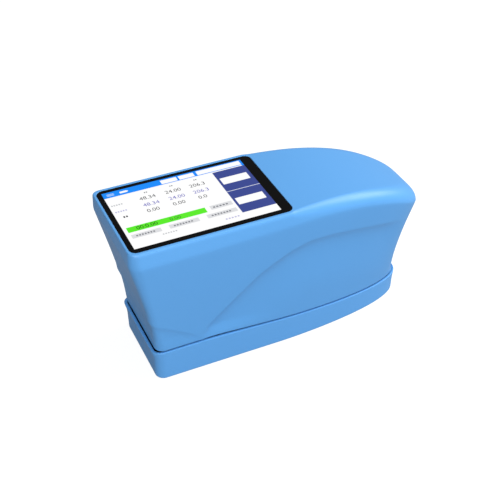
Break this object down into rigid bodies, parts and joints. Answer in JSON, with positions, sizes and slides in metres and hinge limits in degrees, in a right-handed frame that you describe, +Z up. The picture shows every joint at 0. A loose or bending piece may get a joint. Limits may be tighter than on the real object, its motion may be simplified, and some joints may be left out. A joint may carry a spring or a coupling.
{
  "type": "portable color spectrophotometer",
  "caption": "Hand-held color spectrophotometer with a top touch screen, standing in its blue calibration base with the white tile",
  "frame": {"origin": "on the table under the middle of the whole object, standing in its calibration base", "axes": "+X towards the nose, along the instrument; +Y towards the wall with the keys; +Z up"},
  "size_m": [0.1635, 0.0604, 0.0855],
  "materials": {
    "blue_shell": "satin moulded plastic",
    "dark_plastic": "matt moulded plastic",
    "key_plastic": "satin moulded plastic",
    "white_moulding": "matt white diffuse coating",
    "panel_black": "black moulding compound",
    "circuit_board": "green solder mask",
    "cell_sleeve": "shrink sleeve",
    "ribbon_film": "amber film",
    "lamp_cap": "clear yellow lamp cap",
    "screen_glass": "polished cover glass with a black printed border",
    "clear_glass": "polished lens",
    "tile_ceramic": "glazed white ceramic",
    "black_metal": "black anodised",
    "steel": "plain steel",
    "soft_pad": "soft rubber",
    "foam": "closed-cell foam"
  },
  "bodies": {
    "base": {"calibration_base": "blue_shell", "base_feet": "soft_pad", "tile_pad": "foam", "white_tile": "tile_ceramic", "tile_ring": "black_metal", "tile_ring_screws": "steel"},
    "instrument": {"upper_housing": "blue_shell", "bottom_cover": "dark_plastic", "body_feet": "soft_pad", "case_screws": "steel", "touch_glass": "screen_glass", "display_gasket": "foam", "display_panel": "panel_black", "display_ribbon": "ribbon_film", "main_board": "circuit_board", "board_components": "panel_black", "board_screws": "steel", "battery_pack": "cell_sleeve", "battery_retainer": "dark_plastic", "retainer_screws": "steel", "aperture_ring": "black_metal", "sphere_lower": "white_moulding", "sphere_upper": "white_moulding", "sphere_screws": "steel", "lamp_board": "circuit_board", "lamps": "lamp_cap", "lens_tube": "black_metal", "collecting_lens": "clear_glass", "sensor_board": "circuit_board", "sensor_chip": "panel_black", "sensor_screws": "steel", "sensor_ribbon": "ribbon_film", "side_board": "circuit_board", "side_board_screws": "steel", "key_switches": "dark_plastic", "charging_port": "steel"},
    "measure_button": {"measure_button": "key_plastic"},
    "power_button": {"power_button": "key_plastic"}
  },
  "joints": [
    {"name": "instrument_lift", "type": "slide", "parent": "base", "child": "instrument", "axis": [0, 0, 1], "range_m": [0, 0.04]},
    {"name": "measure_press", "type": "slide", "parent": "instrument", "child": "measure_button", "axis": [0, -0.9945, 0.105], "range_m": [0, 0.0006], "stiffness_N_per_m": 900, "springref_m": -0.0008},
    {"name": "power_press", "type": "slide", "parent": "instrument", "child": "power_button", "axis": [0, -0.9945, 0.105], "range_m": [0, 0.0005], "stiffness_N_per_m": 900, "springref_m": -0.0008}
  ]
}
